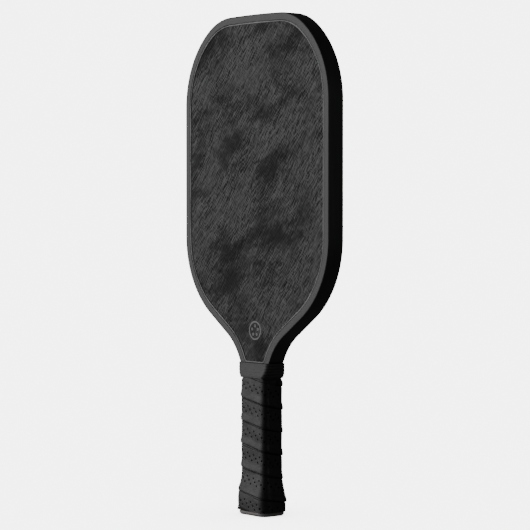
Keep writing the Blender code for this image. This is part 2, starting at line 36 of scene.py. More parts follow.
# The paddle's size and outline, as in the part but for the finer turn of each facet
LENGTH = 419.1 * MM
HEAD_WIDTH = 190.5 * MM
GUARD_THICKNESS = 16.0 * MM
CROWN_RADIUS = 1080 * MM
CORNER_RADIUS = 52.5 * MM
CORNER_END_TURN = math.radians(35.7)
UPPER_SIDE_RADIUS = 79 * MM
SIDE_RUN = 111.5 * MM
SHOULDER_RADIUS = 80.7 * MM
SHOULDER_TURN = math.radians(55.2)
FLANK_RUN = 27.5 * MM
THROAT_RADIUS = 51 * MM
THROAT_TURN = math.radians(27.6)
NECK_RUN = 9.4 * MM
FACET_TURN = math.radians(1.5)
SMOOTH_ANGLE = math.radians(40)

GLUE_LINE = 0.15 * MM
FIT_GAP = 0.3 * MM
FACE_HALF = 7.3 * MM

# Edge guard; its outer edges have a tighter radius and more steps than the part's
GUARD_WEB = 1.4 * MM
GUARD_LIP = 6.3 * MM
GUARD_EDGE_RADIUS = 1.1 * MM
GUARD_EDGE_STEPS = 8
GUARD_LIP_ROUND = 0.3 * MM
GUARD_LIP_STEPS = 4

# Bead of adhesive along the lip, and the largest shares of its width and height that it reaches
BEAD_WIDTH = 1.2 * MM
BEAD_HEIGHT = 0.5 * MM
BEAD_FOOT = 128.0 * MM
BEAD_SPACING = 0.8 * MM
BEAD_STEPS = 6
BEAD_WIDEST = 1.15
BEAD_HIGHEST = 1.0

# The bead's size varies by these waves. Each has a length and a share, and is bent by a slower wave
# with a length and a reach of its own.
BEAD_WAVES = (
    (9 * MM, 0.2, 31 * MM, 1.3),
    (2.3 * MM, 0.1, 13 * MM, 2.1),
)

# Handle section under the strip; the flare tucks in less than the part's at the bottom
HANDLE_HALF_X = 14.7 * MM
HANDLE_HALF_Y = 9.6 * MM
HANDLE_CORNER = 4.0 * MM
CAP_BOTTOM = 3.6 * MM
FLARE_DEPTH = 3.1 * MM
FLARE_Z = 12 * MM
FLARE_TOP = 36 * MM
FLARE_TUCK = 0.2 * MM

# Cushion strip
WRAP_GAP = 0.2 * MM
WRAP_THICKNESS = 1.8 * MM
WRAP_EDGE_THICKNESS = 0.6 * MM
WRAP_WIDTH = 25 * MM
WRAP_PITCH = 19.5 * MM
WRAP_BOTTOM = 3.6 * MM
WRAP_TOP = 115.9 * MM
WRAP_SEAM_ANGLE = math.radians(231)
WRAP_SEAM_Z = 59.7 * MM
WRAP_TURNS_BELOW = 4
WRAP_TURNS_ABOVE = 2.6
WRAP_SKIVE = 6 * MM
WRAP_LIFT_END = 8 * MM
WRAP_SQUEEZE_START = 111 * MM
WRAP_SQUEEZE_END = 115 * MM
WRAP_FREE_REACH = 3.3 * MM
WRAP_SQUEEZED_REACH = 1.1 * MM
WRAP_EDGE_ROUND = 1.1 * MM
WRAP_EDGE_STEPS = 5
WRAP_CREST = 1.6 * MM
WRAP_SETTLED = 7 * MM
WRAP_MIDDLE_REACH = 2.2 * MM
WRAP_STEPS_BELOW = 8
WRAP_STEPS_ABOVE = 24
WRAP_STEPS_INSIDE = 8

# The strip sinks in along each seam, and stands out on the narrow sides at the cost of the wide ones
WRAP_SEAM_DIP = 0.5 * MM
WRAP_SEAM_DIP_REACH = 0.9 * MM
WRAP_SIDE_FILL = 0.5 * MM

# It sways up and down by waves of these heights and lengths, and swells a little along and across
WRAP_SWAYS = (
    (0.25 * MM, 19 * MM),
    (0.15 * MM, 7.1 * MM),
)
WRAP_SWELL = 0.08 * MM
WRAP_SWELL_ALONG = 11 * MM
WRAP_SWELL_ACROSS = 3.7 * MM

# Holes punched in the strip: rows along it, each moved a third of the period from its neighbour
HOLE_PERIOD = 8 * MM
HOLE_ROWS = 3
HOLE_ROW_PITCH = 2.6 * MM
HOLE_MIDDLE_W = 11.5 * MM
HOLE_RADIUS = 0.7 * MM
HOLE_DEPTH = 1.2 * MM
HOLE_ROUND = 0.15 * MM
HOLE_TAPER = 0.9
CELL_STEPS = 4

# Steps round each corner of the collar's and the plate's sections
CORNER_STEPS = 12

# Collar: height, half width, half depth and corner radius of its outside, from the bottom up
COLLAR_SECTIONS = (
    (115.4 * MM, 16.9 * MM, 11.8 * MM, 4.8 * MM),
    (118.0 * MM, 18.5 * MM, 11.7 * MM, 4.8 * MM),
    (121.0 * MM, 19.9 * MM, 11.0 * MM, 4.8 * MM),
    (124.5 * MM, 20.7 * MM, 10.4 * MM, 4.8 * MM),
    (128.0 * MM, 21.0 * MM, 10.0 * MM, 4.8 * MM),
)
COLLAR_WALL = 0.8 * MM
COLLAR_RIM_HEIGHT = 1.6 * MM
COLLAR_RIM_HALF_X = 20.1 * MM
COLLAR_RIM_CORNER = 2.3 * MM
COLLAR_GROOVE_PITCH = 2.5 * MM
COLLAR_GROOVE_COUNT = 4
COLLAR_GROOVE_DEPTH = 0.5 * MM
COLLAR_GROOVE_FAINTEST = 0.1
COLLAR_ROUND = 0.25 * MM
COLLAR_LEVELS = 64

# End plate
PLATE_HEIGHT = 3.3 * MM
PLATE_CHAMFER = 1.4 * MM
PLATE_HALF_X = 18.4 * MM
PLATE_HALF_Y = 13.3 * MM
PLATE_CORNER = 7.7 * MM
PLATE_ROUND = 0.3 * MM
PLATE_SMOOTH_ANGLE = math.radians(30)
SPIGOT_INSET = 6 * MM
SPIGOT_HEIGHT = 1.5 * MM

# A plain ball printed low on each face
MARK_Z = 155 * MM
MARK_RADIUS = 8 * MM
MARK_LINE = 1.3 * MM
MARK_DOT_RADIUS = 1.3 * MM
MARK_DOT_HOLE = 0.3 * MARK_DOT_RADIUS
MARK_DOT_DISTANCE = 3.9 * MM
MARK_DOTS = 5
MARK_HEIGHT = 0.03 * MM
MARK_GAP = 0.2 * MARK_HEIGHT
MARK_STEPS = 48

# Camera: azimuth from the front towards +X, distance from the paddle's axis, height, and its aim,
# which is a height on the axis and a step to the side. Lens and sensor are in millimetres.
CAMERA_AZIMUTH = math.radians(51.0)
CAMERA_DISTANCE = 1813 * MM
CAMERA_HEIGHT = 257.5 * MM
CAMERA_LENS = 146.9
CAMERA_SENSOR = 36
CAMERA_FAR_CLIP = 100.0
CAMERA_AIM_HEIGHT = 209.75 * MM
CAMERA_SIDE_AIM = 2.75 * MM

CORNER_SIGNS = ((1, 1), (-1, 1), (-1, -1), (1, -1))
SIDES = {"front": -1, "rear": 1}


# ---------------------------------------------------------------- procedural materials

# Strokes: how many pitches noise pushes them by, its width in pitches, and where a wave is full
STROKE_WANDER = 2.6
STROKE_WANDER_WIDTH = 1.6
STROKE_EDGE = 0.8


class Recipe:
    """One procedural material while it is put together, with lengths in metres on the object."""

    def __init__(self, name, metallic=0.0, specular=0.5):
        self.material = bpy.data.materials.new(name)
        self.material.use_nodes = True
        self.tree = self.material.node_tree
        self.shader = self.tree.nodes["Principled BSDF"]
        self.shader.inputs["Metallic"].default_value = metallic
        self.shader.inputs["Specular IOR Level"].default_value = specular
        self.place = self.tree.nodes.new("ShaderNodeTexCoord").outputs["Object"]

    def feed(self, socket, value):
        """Link a node's output to the socket, or set a plain value on it."""
        if isinstance(value, bpy.types.NodeSocket):
            self.tree.links.new(value, socket)
        else:
            socket.default_value = value

    def node(self, kind, **settings):
        node = self.tree.nodes.new(kind)
        for name, value in settings.items():
            setattr(node, name, value)
        return node

    def combine(self, operation, first, second=0.0, third=0.0):
        """The result of a math node."""
        node = self.node("ShaderNodeMath", operation=operation)
        for socket, value in zip(node.inputs, (first, second, third)):
            self.feed(socket, value)
        return node.outputs[0]

    def stretched(self, lengths, turn=0.0, place=None):
        """Coordinates in units of lengths, along axes turned about Y by turn."""
        node = self.node("ShaderNodeMapping", vector_type="TEXTURE")
        self.feed(node.inputs["Vector"], place or self.place)
        node.inputs["Rotation"].default_value = (0.0, turn, 0.0)
        node.inputs["Scale"].default_value = lengths
        return node.outputs["Vector"]

    def warped(self, size, reach):
        """The place moved about by soft noise of that size, at most about reach either way."""
        noise = self.node("ShaderNodeTexNoise")
        self.feed(noise.inputs["Vector"], self.stretched((size, size, size)))
        noise.inputs["Scale"].default_value = 1.0
        noise.inputs["Detail"].default_value = 1.0
        centred = self.node("ShaderNodeVectorMath", operation="SUBTRACT")
        self.feed(centred.inputs[0], noise.outputs["Color"])
        centred.inputs[1].default_value = (0.5, 0.5, 0.5)
        scaled = self.node("ShaderNodeVectorMath", operation="SCALE")
        self.feed(scaled.inputs[0], centred.outputs["Vector"])
        scaled.inputs["Scale"].default_value = 2 * reach
        moved = self.node("ShaderNodeVectorMath", operation="ADD")
        self.feed(moved.inputs[0], self.place)
        self.feed(moved.inputs[1], scaled.outputs["Vector"])
        return moved.outputs["Vector"]

    def noise(self, lengths, turn=0.0, detail=2.0, roughness=0.5, place=None):
        node = self.node("ShaderNodeTexNoise")
        self.feed(node.inputs["Vector"], self.stretched(lengths, turn, place))
        node.inputs["Scale"].default_value = 1.0
        node.inputs["Detail"].default_value = detail
        node.inputs["Roughness"].default_value = roughness
        return node.outputs["Fac"]

    def cells(self, size):
        """How far each place is from the middle of its cell."""
        node = self.node("ShaderNodeTexVoronoi")
        self.feed(node.inputs["Vector"], self.stretched((size, size, size)))
        node.inputs["Scale"].default_value = 1.0
        return node.outputs["Distance"]

    def strokes(self, pitch, length, turn, place):
        """Strokes of about that pitch and length, from 0 to 1, along an axis turned about Y.

        They are the crests of a wave, pushed out of step by noise that is as long as a stroke.
        """
        separate = self.node("ShaderNodeSeparateXYZ")
        self.feed(separate.inputs[0], self.stretched((pitch, pitch, pitch), turn, place))
        wander_size = (length, length, STROKE_WANDER_WIDTH * pitch)
        wander = self.noise(wander_size, turn, 1.0, 0.5, place)
        phase = self.combine("MULTIPLY_ADD", wander, STROKE_WANDER, separate.outputs["Z"])
        wave = self.combine("SINE", self.combine("MULTIPLY", phase, 2 * math.pi))
        return self.ramp(wave, -STROKE_EDGE, STROKE_EDGE)

    def ramp(self, value, low, high, start=0.0, end=1.0, smooth=True):
        """start where value is at most low, end where it is at least high, else in between."""
        node = self.node("ShaderNodeMapRange")
        if smooth:
            node.interpolation_type = "SMOOTHSTEP"
        node.inputs["From Min"].default_value = low
        node.inputs["From Max"].default_value = high
        node.inputs["To Min"].default_value = start
        node.inputs["To Max"].default_value = end
        self.feed(node.inputs["Value"], value)
        return node.outputs["Result"]

    def mixed(self, share, first, second):
        """A colour between two others."""
        node = self.node("ShaderNodeMix", data_type="RGBA")
        self.feed(node.inputs["Factor"], share)
        for socket, colour in ((node.inputs["A"], first), (node.inputs["B"], second)):
            self.feed(socket, (*colour, 1.0))
        return node.outputs["Result"]

    def colour(self, share, dark, light):
        self.feed(self.shader.inputs["Base Color"], self.mixed(share, dark, light))

    def roughness(self, share, start, end):
        value = self.ramp(share, 0.0, 1.0, start, end, smooth=False)
        self.feed(self.shader.inputs["Roughness"], value)

    def bump(self, height, depth):
        """Relief: height runs from 0 to 1, and depth is what 1 stands for, in metres."""
        node = self.node("ShaderNodeBump")
        node.inputs["Strength"].default_value = 1.0
        node.inputs["Distance"].default_value = depth
        self.feed(node.inputs["Height"], height)
        self.feed(self.shader.inputs["Normal"], node.outputs["Normal"])


def grey(value):
    return value, value, value


def grained(name, dark, light, grain, rough=(0.45, 0.6)):
    """Moulded plastic, rubber or foam: a fine grain over broad, faint patches of colour."""
    recipe = Recipe(name)
    fine = recipe.noise((grain, grain, grain), detail=3.0)
    broad = recipe.noise((14 * MM, 14 * MM, 14 * MM), detail=2.0)
    share = recipe.combine("MULTIPLY_ADD", fine, 0.5, recipe.combine("MULTIPLY", broad, 0.5))
    recipe.colour(recipe.ramp(share, 0.35, 0.65), dark, light)
    recipe.roughness(recipe.ramp(fine, 0.35, 0.65), *rough)
    recipe.bump(fine, 0.02 * MM)
    return recipe.material


def woven(name, dark, light, pitch, rough):
    """Cloth of crossing yarns that lies in the XZ plane."""
    recipe = Recipe(name)
    separate = recipe.node("ShaderNodeSeparateXYZ")
    recipe.feed(separate.inputs[0], recipe.stretched((pitch, pitch, pitch)))
    across = recipe.combine("SINE", recipe.combine("MULTIPLY", separate.outputs["X"], math.pi))
    along = recipe.combine("SINE", recipe.combine("MULTIPLY", separate.outputs["Z"], math.pi))
    crossing = recipe.combine("MULTIPLY", across, along)
    fibres = recipe.noise((pitch / 8, pitch / 8, pitch / 8), detail=2.0)
    height = recipe.ramp(crossing, -1.0, 1.0, smooth=False)
    share = recipe.combine("MULTIPLY_ADD", fibres, 0.4, recipe.combine("MULTIPLY", height, 0.6))
    recipe.colour(share, dark, light)
    recipe.roughness(share, *rough)
    recipe.bump(share, 0.05 * MM)
    return recipe.material


# Strokes in the carbon: turn about Y in degrees, pitch, length and share of the whole. Fine fibres
# run among them, and take the last share.
CARBON_STROKES = (
    (-48, 2.4 * MM, 13 * MM, 0.36),
    (38, 2.3 * MM, 8 * MM, 0.25),
    (-66, 2.6 * MM, 12 * MM, 0.22),
)
CARBON_FIBRE_SHARE = 0.24
CARBON_FIBRE_SIZE = (10 * MM, 10 * MM, 0.6 * MM)
CARBON_FIBRE_TURN = math.radians(-50)

# Patches in which the strokes are fainter or stronger, and clouds that darken all of it
CARBON_FADING_SIZE = (34 * MM, 34 * MM, 16 * MM)
CARBON_FADING_TURN = math.radians(-60)
CARBON_FADING_CONTRAST = (0.6, 1.2)
CARBON_CLOUD_SIZE = (56 * MM, 56 * MM, 30 * MM)
CARBON_CLOUD_TURN = math.radians(-14)
CARBON_CLOUD_DARKEST = 0.36


def carbon_material():
    """Raw carbon: short crossing strokes that fade in places, under broad dark and light clouds."""
    recipe = Recipe("raw_carbon", specular=0.33)
    place = recipe.warped(60 * MM, 4 * MM)
    hatch = 0.0
    for turn, pitch, length, share in CARBON_STROKES:
        stroke = recipe.strokes(pitch, length, math.radians(turn), place)
        hatch = recipe.combine("MULTIPLY_ADD", stroke, share, hatch)
    fine = recipe.noise(CARBON_FIBRE_SIZE, CARBON_FIBRE_TURN, 0.0, 0.5, place)
    fibres = recipe.ramp(fine, 0.38, 0.62)
    hatch = recipe.combine("MULTIPLY_ADD", fibres, CARBON_FIBRE_SHARE, hatch)
    fading = recipe.noise(CARBON_FADING_SIZE, CARBON_FADING_TURN, 1.0, 0.5, place)
    contrast = recipe.ramp(fading, 0.36, 0.60, *CARBON_FADING_CONTRAST)
    hatch = recipe.combine("MULTIPLY_ADD", recipe.combine("SUBTRACT", hatch, 0.5), contrast, 0.5)
    clouds = recipe.noise(CARBON_CLOUD_SIZE, CARBON_CLOUD_TURN, 4.0, 0.66, place)
    cloud = recipe.ramp(clouds, 0.31, 0.60, CARBON_CLOUD_DARKEST, 1.0)
    tone = recipe.combine("MULTIPLY", hatch, cloud)
    recipe.colour(tone, grey(0.001), (0.045, 0.045, 0.046))
    recipe.roughness(recipe.ramp(tone, 0.0, 0.8), 0.85, 0.42)
    recipe.bump(hatch, 0.05 * MM)
    return recipe.material


def guard_material():
    """Black elastomer: a fine grain over patches drawn out along the guard's long sides."""
    recipe = Recipe("guard_elastomer")
    fine = recipe.noise((0.35 * MM, 0.35 * MM, 0.35 * MM), detail=2.0)
    drawn = recipe.noise((5 * MM, 5 * MM, 60 * MM), detail=2.0)
    share = recipe.combine("MULTIPLY_ADD", fine, 0.5, recipe.combine("MULTIPLY", drawn, 0.5))
    recipe.colour(recipe.ramp(share, 0.3, 0.7), grey(0.010), grey(0.020))
    recipe.roughness(recipe.ramp(fine, 0.3, 0.7), 0.42, 0.5)
    recipe.bump(fine, 0.008 * MM)
    return recipe.material


def grip_material():
    """Tacky cushion skin: fine pores and creases over a faintly mottled black."""
    recipe = Recipe("grip_cushion", specular=0.38)
    pores = recipe.cells(0.5 * MM)
    creases = recipe.noise((2.4 * MM, 2.4 * MM, 1.2 * MM), detail=4.0, roughness=0.6)
    patches = recipe.noise((11 * MM, 11 * MM, 6 * MM), detail=2.0)
    share = recipe.combine("MULTIPLY_ADD", creases, 0.5, recipe.combine("MULTIPLY", patches, 0.5))
    share = recipe.ramp(share, 0.35, 0.65)
    recipe.colour(share, (0.005, 0.005, 0.0048), (0.014, 0.014, 0.0135))
    recipe.roughness(share, 0.5, 0.4)
    height = recipe.combine("MULTIPLY_ADD", pores, 0.25, recipe.combine("MULTIPLY", creases, 0.75))
    recipe.bump(height, 0.06 * MM)
    return recipe.material


def steel_material():
    """Bright drawn wire."""
    recipe = Recipe("staple_steel", metallic=1.0)
    drawn = recipe.noise((3 * MM, 0.1 * MM, 0.1 * MM), detail=2.0)
    recipe.colour(drawn, (0.42, 0.42, 0.43), (0.68, 0.68, 0.69))
    recipe.roughness(drawn, 0.25, 0.45)
    recipe.bump(drawn, 0.005 * MM)
    return recipe.material


def make_materials():
    """Every material by its short name: dark and light colour, grain or pitch, and roughness."""
    return {
        "carbon": carbon_material(),
        "guard": guard_material(),
        "grip": grip_material(),
        "staple": steel_material(),
        "bead": grained("adhesive_bead", grey(0.13), grey(0.23), 1.2 * MM, (0.35, 0.45)),
        "collar": grained("collar_rubber", grey(0.014), grey(0.026), 0.5 * MM),
        "plate": grained("plate_plastic", (0.17, 0.152, 0.150), (0.21, 0.190, 0.188), 0.6 * MM),
        "mark": grained("printed_mark", grey(0.14), grey(0.20), 0.8 * MM),
        "core": grained("polypropylene", (0.70, 0.72, 0.74), (0.88, 0.89, 0.90), 0.8 * MM, (0.35, 0.5)),
        "foam": grained("edge_foam", (0.42, 0.40, 0.34), (0.62, 0.60, 0.52), 0.5 * MM, (0.8, 0.95)),
        "pallet": grained("handle_foam", grey(0.09), grey(0.16), 0.4 * MM, (0.7, 0.9)),
        "cap": grained("cap_plastic", grey(0.035), grey(0.06), 0.3 * MM),
        "bond": grained("bond_foam", (0.50, 0.48, 0.43), (0.70, 0.68, 0.62), 0.4 * MM, (0.6, 0.8)),
        "glass_ply": woven("glass_ply", (0.22, 0.25, 0.21), (0.42, 0.45, 0.40), 0.9 * MM, (0.3, 0.5)),
        "scrim": woven("polyester_scrim", (0.60, 0.60, 0.58), (0.86, 0.86, 0.84), 0.7 * MM, (0.8, 0.95)),
        "tape": woven("finishing_tape", grey(0.02), grey(0.045), 0.5 * MM, (0.4, 0.6)),
    }


# ---------------------------------------------------------------- mesh helpers

def mesh_from(vertices, faces, smooth_angle=SMOOTH_ANGLE):
    """A smooth-shaded mesh whose faces all look outwards."""
    mesh = bpy.data.meshes.new("mesh")
    mesh.from_pydata(vertices, [], faces)
    shape = bmesh.new()
    shape.from_mesh(mesh)
    bmesh.ops.recalc_face_normals(shape, faces=shape.faces)
    shape.to_mesh(mesh)
    shape.free()
    mesh.shade_smooth()
    mesh.set_sharp_from_angle(angle=smooth_angle)
    return mesh


def lofted_mesh(rings, joined_ends=False, smooth_angle=SMOOTH_ANGLE):
    """Skin a row of rings with equal counts; the ends are capped, or joined to each other."""
    count = len(rings[0])
    vertices = [point for ring in rings for point in ring]
    faces = []
    bands = len(rings) if joined_ends else len(rings) - 1
    for band in range(bands):
        here = band * count
        there = (band + 1) % len(rings) * count
        for index in range(count):
            following = (index + 1) % count
            faces.append((here + index, here + following, there + following, there + index))
    if not joined_ends:
        faces.append(range(count))
        faces.append(range(len(vertices) - count, len(vertices)))
    return mesh_from(vertices, faces, smooth_angle)


def add_piece(name, mesh, material, replaced=()):
    """Put a mesh into the scene as a piece of the paddle."""
    mesh.name = name
    mesh.materials.append(material)
    piece = bpy.data.objects.new(name, mesh)
    bpy.context.scene.collection.objects.link(piece)
    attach(piece, "root")
    for node in replaced:
        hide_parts(node)
    return piece


def between(first, second, share):
    return first + (second - first) * share


def clamped(share):
    return min(max(share, 0.0), 1.0)


def spaced(start, end, count):
    """The ends of count equal steps from start to end, without the start."""
    return [between(start, end, step / count) for step in range(1, count + 1)]


def arc(centre, radius, start, end, steps):
    """Points of an arc in two dimensions, from one angle in degrees to another."""
    points = []
    for step in range(steps + 1):
        angle = math.radians(between(start, end, step / steps))
        points.append((centre[0] + radius * math.cos(angle), centre[1] + radius * math.sin(angle)))
    return points


# ---------------------------------------------------------------- outline of the paddle's edge

def corner_start_turn():
    """How far the crown's arc turns before the corner, so that the head is HEAD_WIDTH wide."""
    blend = UPPER_SIDE_RADIUS + (CORNER_RADIUS - UPPER_SIDE_RADIUS) * math.sin(CORNER_END_TURN)
    return math.asin((HEAD_WIDTH / 2 - blend) / (CROWN_RADIUS - CORNER_RADIUS))


def edge_segments():
    """Length and clockwise turn of each tangent arc or straight run of the guard's outside."""
    crown = corner_start_turn()
    return (
        (CROWN_RADIUS * crown, crown),
        (CORNER_RADIUS * (CORNER_END_TURN - crown), CORNER_END_TURN - crown),
        (UPPER_SIDE_RADIUS * (math.pi / 2 - CORNER_END_TURN), math.pi / 2 - CORNER_END_TURN),
        (SIDE_RUN, 0.0),
        (SHOULDER_RADIUS * SHOULDER_TURN, SHOULDER_TURN),
        (FLANK_RUN, 0.0),
        (THROAT_RADIUS * THROAT_TURN, -THROAT_TURN),
        (NECK_RUN, 0.0),
    )


def edge_path(inset):
    """Points (x, z) down the right-hand edge, moved inwards by inset, from the crown's middle."""
    x = 0.0
    z = LENGTH - inset
    heading = 0.0
    points = [(x, z)]
    for length, turn in edge_segments():
        steps = max(1, math.ceil(abs(turn) / FACET_TURN))
        half_step = turn / steps / 2
        chord = (length - inset * turn) / steps
        if turn:
            chord *= math.sin(half_step) / half_step
        for _ in range(steps):
            heading += half_step
            x += chord * math.cos(heading)
            z -= chord * math.sin(heading)
            heading += half_step
            points.append((x, z))
    return points


def both_sides(path):
    """A path from one end of the edge, over the crown, to the other end."""
    return [(-x, z) for x, z in reversed(path[1:])] + path


def cut_off(path, foot):
    """The part of a path down the right-hand edge that lies above the height foot."""
    above = [point for point in path if point[1] > foot]
    last = above[-1]
    following = path[len(above)]
    share = (last[1] - foot) / (last[1] - following[1])
    above.append((between(last[0], following[0], share), foot))
    return above


# ---------------------------------------------------------------- edge guard and beads

def guard_section():
    """Channel section as (inset, y) points: rounded outside, thin rounded lips, square inside."""
    half = GUARD_THICKNESS / 2
    radius = GUARD_EDGE_RADIUS
    lip_inside = FACE_HALF + GLUE_LINE
    lip_centre = (GUARD_LIP - GUARD_LIP_ROUND, half - GUARD_LIP_ROUND)
    upper = arc((radius, half - radius), radius, 180, 90, GUARD_EDGE_STEPS)
    upper += arc(lip_centre, GUARD_LIP_ROUND, 90, 0, GUARD_LIP_STEPS)
    upper.append((GUARD_LIP, lip_inside))
    upper.append((GUARD_WEB, lip_inside))
    lower = [(inset, -y) for inset, y in reversed(upper)]
    return upper + lower


def build_guard(material):
    """The guard's channel, swept round the head from one end at the neck to the other."""
    section = guard_section()
    rails = [both_sides(edge_path(inset)) for inset, _ in section]
    depths = [y for _, y in section]
    rings = []
    for stop in range(len(rails[0])):
        rings.append([(rail[stop][0], y, rail[stop][1]) for rail, y in zip(rails, depths)])
    add_piece("moulded_edge_guard", lofted_mesh(rings), material, ["edge_guard"])


def resampled(line, spacing):
    """A closed polyline as evenly spaced points."""
    lengths = [math.dist(a, b) for a, b in zip(line, line[1:] + line[:1])]
    total = sum(lengths)
    count = round(total / spacing)
    points = []
    index = 0
    passed = 0.0
    for step in range(count):
        distance = total * step / count
        while passed + lengths[index] < distance:
            passed += lengths[index]
            index += 1
        here = line[index]
        following = line[(index + 1) % len(line)]
        share = (distance - passed) / lengths[index]
        x = between(here[0], following[0], share)
        z = between(here[1], following[1], share)
        points.append((x, z))
    return points


def uneven(distance):
    """A share from about 0.7 to 1.3 that changes slowly along a hand-laid line."""
    size = 1.0
    for length, share, slow_length, slow_reach in BEAD_WAVES:
        bend = slow_reach * math.sin(distance / slow_length)
        size += share * math.sin(distance / length + bend)
    return size


def build_bead(side, sign, material):
    """A low rounded ridge that runs round the exposed face, uneven in width as laid by hand."""
    middle = GUARD_LIP + GLUE_LINE + BEAD_WIDTH / 2
    right = cut_off(edge_path(middle), BEAD_FOOT + BEAD_WIDTH / 2)
    left = [(-x, z) for x, z in right[1:]]
    line = resampled(right + left[::-1], BEAD_SPACING)
    base = FACE_HALF + GLUE_LINE
    rings = []
    for index, (x, z) in enumerate(line):
        before = Vector(line[index - 1])
        after = Vector(line[(index + 1) % len(line)])
        along = (after - before).normalized()
        size = uneven(index * BEAD_SPACING)
        ring = []
        for across, height in arc((0, 0), 1.0, 180, 0, BEAD_STEPS):
            reach = across * BEAD_WIDTH / 2 * min(size, BEAD_WIDEST)
            rise = math.sqrt(max(height, 0.0)) * BEAD_HEIGHT * min(size, BEAD_HIGHEST)
            y = sign * (base + rise)
            ring.append((x + along.y * reach, y, z - along.x * reach))
        rings.append(ring)
    mesh = lofted_mesh(rings, joined_ends=True)
    add_piece(f"{side}_laid_bead", mesh, material, [f"{side}_edge_bead"])


# ---------------------------------------------------------------- handle sections

def section_ring(half_x, half_y, corner, z):
    """Rounded rectangle at height z, counterclockwise from the start of its +X +Y corner."""
    ring = []
    for quarter, (sign_x, sign_y) in enumerate(CORNER_SIGNS):
        centre = (sign_x * (half_x - corner), sign_y * (half_y - corner))
        for x, y in arc(centre, corner, 90 * quarter, 90 * quarter + 90, CORNER_STEPS):
            ring.append((x, y, z))
    return ring


def flare(z):
    """How far the butt cap's outer side stands proud of the pallets at height z."""
    if z >= FLARE_TOP:
        return 0.0
    if z >= FLARE_Z:
        share = (z - FLARE_Z) / (FLARE_TOP - FLARE_Z)
        return FLARE_DEPTH * (1 + math.cos(math.pi * share)) / 2
    return FLARE_DEPTH - FLARE_TUCK * ((FLARE_Z - z) / (FLARE_Z - CAP_BOTTOM)) ** 2


# ---------------------------------------------------------------- cushion strip

def wrap_thickness(w):
    """Thickness at w across the strip from its lower edge: thin at both edges, else full."""
    edge = max(min(w, WRAP_WIDTH - w, WRAP_SKIVE), 0.0) / WRAP_SKIVE
    return between(WRAP_EDGE_THICKNESS, WRAP_THICKNESS, edge)


def wrap_lift(w):
    """How far the strip's lower part is raised by the turn below it."""
    overlap = WRAP_WIDTH - WRAP_PITCH
    if w <= overlap:
        return wrap_thickness(w + WRAP_PITCH) + FIT_GAP
    edge_lift = WRAP_EDGE_THICKNESS + FIT_GAP
    return edge_lift * max(0.0, (WRAP_LIFT_END - w) / (WRAP_LIFT_END - overlap))


def wrap_inside(w, lifted):
    """The strip's inner side above the pallets. Only the first turn lies flat on them."""
    return wrap_lift(w) if lifted else 0.0


def wrap_outside(w, lifted):
    """The strip's outer side above the pallets: it settles smoothly from its lower edge upwards."""
    if lifted:
        share = clamped((w - WRAP_CREST) / (WRAP_SETTLED - WRAP_CREST))
        settled = share * share * (3 - 2 * share)
        crest = wrap_inside(0.0, True) + WRAP_EDGE_THICKNESS
        reach = between(crest, wrap_thickness(max(w, WRAP_SKIVE)), settled)
    else:
        reach = wrap_thickness(w)
    from_seam = abs(w - WRAP_PITCH) / WRAP_SEAM_DIP_REACH
    if from_seam < 1:
        reach -= WRAP_SEAM_DIP * (1 - from_seam * from_seam)
    to_edge = min(w, WRAP_WIDTH - w)
    if to_edge < WRAP_EDGE_ROUND:
        share = 1 - to_edge / WRAP_EDGE_ROUND
        reach -= WRAP_EDGE_ROUND * (1 - math.sqrt(1 - share * share))
    return reach


def reach_limit(z):
    """The furthest that the strip may stand off the pallets: the collar presses it in."""
    share = clamped((z - WRAP_SQUEEZE_START) / (WRAP_SQUEEZE_END - WRAP_SQUEEZE_START))
    return flare(z) + between(WRAP_FREE_REACH, WRAP_SQUEEZED_REACH, share)


def rim_lengths():
    """Length of one corner of the wound handle, and of the straight sides after each corner."""
    corner = (HANDLE_CORNER + WRAP_MIDDLE_REACH) * math.pi / 2
    across = 2 * (HANDLE_HALF_X - HANDLE_CORNER)
    deep = 2 * (HANDLE_HALF_Y - HANDLE_CORNER)
    return corner, (across, deep, across, deep)


def rim_place(distance):
    """Corner centre (x, y) and outward angle at a distance round the handle from the seam.

    Distance runs clockwise as seen from above.
    """
    corner, sides = rim_lengths()
    perimeter = 4 * corner + sum(sides)
    seam_share = WRAP_SEAM_ANGLE / (math.pi / 2)
    seam = corner * seam_share + sum(sides[: int(seam_share)])
    left = (seam - distance) % perimeter
    for quarter, (sign_x, sign_y) in enumerate(CORNER_SIGNS):
        x = sign_x * (HANDLE_HALF_X - HANDLE_CORNER)
        y = sign_y * (HANDLE_HALF_Y - HANDLE_CORNER)
        if left <= corner:
            return x, y, math.pi / 2 * (quarter + left / corner)
        left -= corner
        if left <= sides[quarter]:
            share = left / sides[quarter]
            next_x, next_y = CORNER_SIGNS[(quarter + 1) % 4]
            next_x *= HANDLE_HALF_X - HANDLE_CORNER
            next_y *= HANDLE_HALF_Y - HANDLE_CORNER
            outward = math.pi / 2 * (quarter + 1)
            return between(x, next_x, share), between(y, next_y, share), outward
        left -= sides[quarter]
    raise ValueError("the distance lies past the handle's rim")


